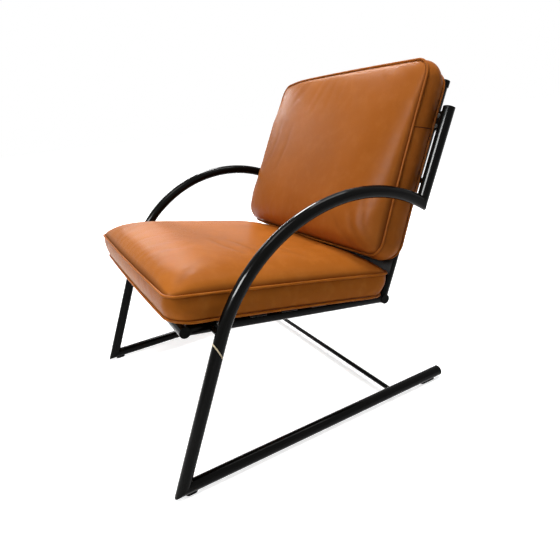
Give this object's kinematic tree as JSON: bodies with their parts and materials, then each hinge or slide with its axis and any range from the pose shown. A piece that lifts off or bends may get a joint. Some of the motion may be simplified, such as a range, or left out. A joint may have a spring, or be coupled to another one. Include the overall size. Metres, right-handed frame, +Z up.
{
  "type": "cantilever lounge chair",
  "caption": "Lounge chair with black tube side frames whose arcs form the armrests, an L-shaped seat and back frame, and loose leather box cushions.",
  "frame": {"origin": "on the floor, in the middle of the chair's width and depth", "axes": "+Z up, +Y from the seat's front towards its back, +X towards the sitter's left-hand side as they sit facing -Y"},
  "size_m": [0.673, 0.7535, 0.7308],
  "materials": {
    "black_tube": "glossy black powder coat on steel tube",
    "cream_sleeve": "smooth cream plastic",
    "black_plastic": "satin black moulded plastic",
    "dark_fasteners": "blackened steel",
    "zinc_fasteners": "zinc plated steel",
    "black_webbing": "woven elastic webbing",
    "cognac_leather": "smooth aniline leather with piped seams"
  },
  "bodies": {
    "frame": {"runner_left": "black_tube", "runner_right": "black_tube", "leg_left": "black_tube", "leg_right": "black_tube", "joint_sleeve_left": "cream_sleeve", "joint_sleeve_right": "cream_sleeve", "arm_left": "black_tube", "arm_right": "black_tube", "upright_left": "black_tube", "upright_right": "black_tube", "upright_cap_left": "black_plastic", "upright_cap_right": "black_plastic", "runner_cap_left": "black_plastic", "runner_cap_right": "black_plastic", "front_glide_left": "black_plastic", "front_glide_right": "black_plastic", "rear_glide_left": "black_plastic", "rear_glide_right": "black_plastic", "floor_crossbar": "black_tube", "seat_rail_left": "black_tube", "seat_rail_right": "black_tube", "seat_front_tube": "black_tube", "seat_rear_tube": "black_tube", "seat_frame_plugs": "black_plastic", "back_rail_left": "black_tube", "back_rail_right": "black_tube", "back_rail_cap_left": "black_plastic", "back_rail_cap_right": "black_plastic", "back_cross_tube": "black_tube", "seat_standoff_left": "black_tube", "seat_standoff_right": "black_tube", "back_standoff_left": "black_tube", "back_standoff_right": "black_tube", "upright_ear_left": "black_tube", "upright_ear_right": "black_tube", "rail_ear_left": "black_tube", "rail_ear_right": "black_tube", "standoff_screws": "dark_fasteners", "ear_screws": "zinc_fasteners", "ear_nuts": "zinc_fasteners", "seat_straps": "black_webbing", "back_straps": "black_webbing"},
    "seat_pad": {"seat_cushion": "cognac_leather"},
    "back_pad": {"back_cushion": "cognac_leather"}
  },
  "joints": [
    {"name": "seat_cushion_off", "type": "slide", "parent": "frame", "child": "seat_pad", "axis": [0, -0.9882, 0.153], "range_m": [0, 0.5]},
    {"name": "back_cushion_off", "type": "slide", "parent": "frame", "child": "back_pad", "axis": [0, 0.2974, 0.9548], "range_m": [0, 0.42]}
  ]
}
